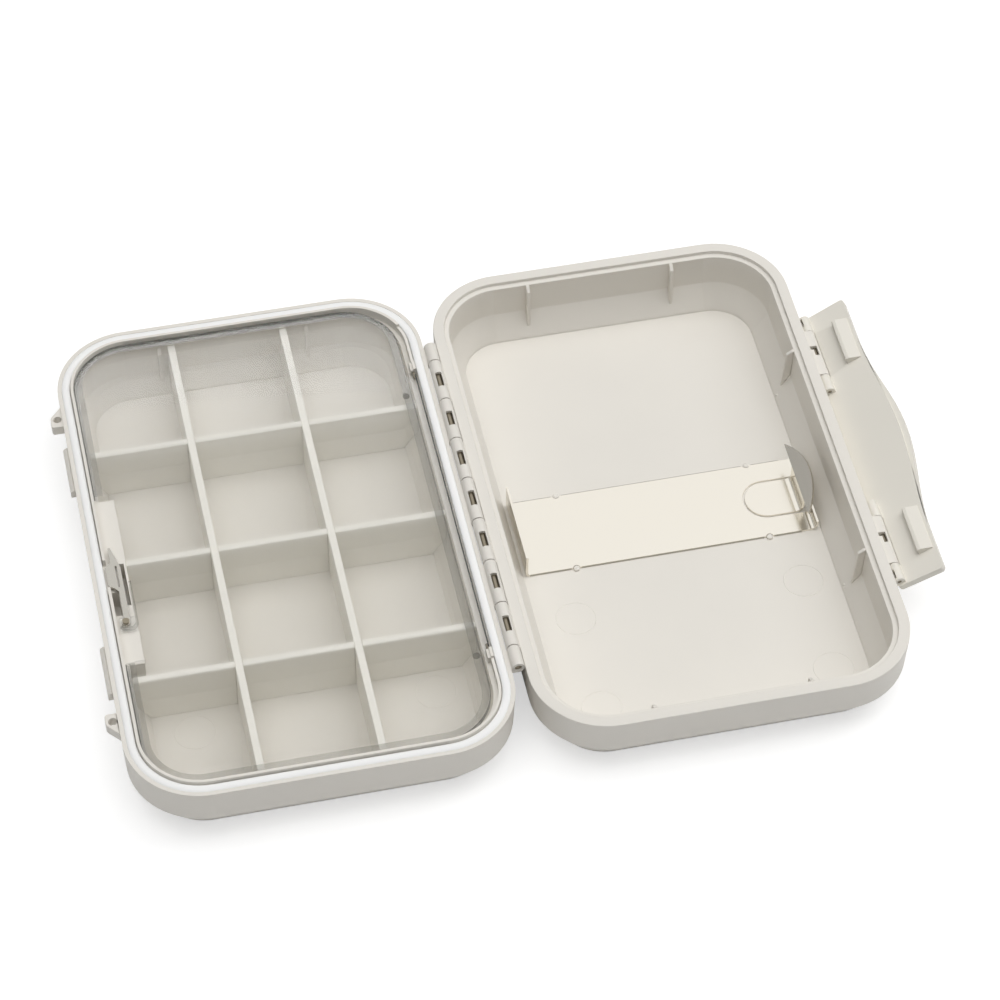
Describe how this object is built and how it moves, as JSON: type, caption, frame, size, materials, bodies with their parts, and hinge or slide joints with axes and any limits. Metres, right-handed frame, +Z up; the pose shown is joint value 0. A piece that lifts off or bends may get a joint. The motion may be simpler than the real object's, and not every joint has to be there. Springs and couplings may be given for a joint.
{
  "type": "fly box",
  "caption": "Waterproof fly box: compartment base with clear inner lid, knuckle-hinged lid with clip, hooked latch flap and lanyard eyelets, stored lying open.",
  "frame": {"origin": "centre of the flat underside of the base half", "axes": "+X from the base across the hinge to the lid, +Y along the hinge, +Z up out of the open halves"},
  "size_m": [0.2238, 0.1586, 0.0237],
  "materials": {
    "body_plastic": "fine satin moulding, warm off-white",
    "divider_plastic": "satin moulding",
    "flap_plastic": "satin moulding, a shade darker",
    "seal_silicone": "soft matt silicone",
    "smoke_clear": "polished smoke-clear plastic",
    "sheet_steel": "polished spring sheet",
    "pin_steel": "drawn wire"
  },
  "bodies": {
    "base": {"base_shell": "body_plastic", "long_dividers": "divider_plastic", "cross_dividers": "divider_plastic", "lanyard_lug_far": "body_plastic", "lanyard_lug_near": "body_plastic", "latch_strikes": "body_plastic", "base_knuckles": "body_plastic", "rim_seal": "seal_silicone", "main_hinge_pin": "pin_steel", "inner_lid_pins": "pin_steel"},
    "lid": {"lid_shell": "body_plastic", "lid_ribs": "body_plastic", "lid_knuckles": "body_plastic", "latch_knuckles": "body_plastic", "latch_pin_far": "pin_steel", "latch_pin_near": "pin_steel", "clip_plate": "sheet_steel", "clip_retainers": "body_plastic"},
    "latch": {"latch_flap": "flap_plastic"},
    "clear_lid": {"inner_lid": "smoke_clear", "catch_rivet": "pin_steel"},
    "catch": {"inner_lid_catch": "sheet_steel"},
    "release_tab": {"clip_release_tab": "sheet_steel"}
  },
  "joints": [
    {"name": "lid_hinge", "type": "hinge", "parent": "base", "child": "lid", "pos_m": [0.05185, 0, 0.02], "axis": [0, 1, 0], "range_deg": [-180, 0]},
    {"name": "latch_hinge", "type": "hinge", "parent": "lid", "child": "latch", "pos_m": [0.15535, 0, 0.0174], "axis": [0, 1, 0], "range_deg": [-61.5, 0]},
    {"name": "inner_lid_hinge", "type": "hinge", "parent": "base", "child": "clear_lid", "pos_m": [0.04575, 0, 0.01905], "axis": [0, 1, 0], "range_deg": [0, 100]},
    {"name": "catch_flex", "type": "hinge", "parent": "clear_lid", "child": "catch", "pos_m": [-0.04335, -0.0206, 0.0191], "axis": [0, 0, -1], "range_deg": [0, 3], "stiffness_Nm_per_rad": 0.02},
    {"name": "clip_tab_flex", "type": "hinge", "parent": "lid", "child": "release_tab", "pos_m": [0.1271, -0.001, 0.0021], "axis": [0, -1, 0], "range_deg": [0, 12], "stiffness_Nm_per_rad": 0.05}
  ]
}
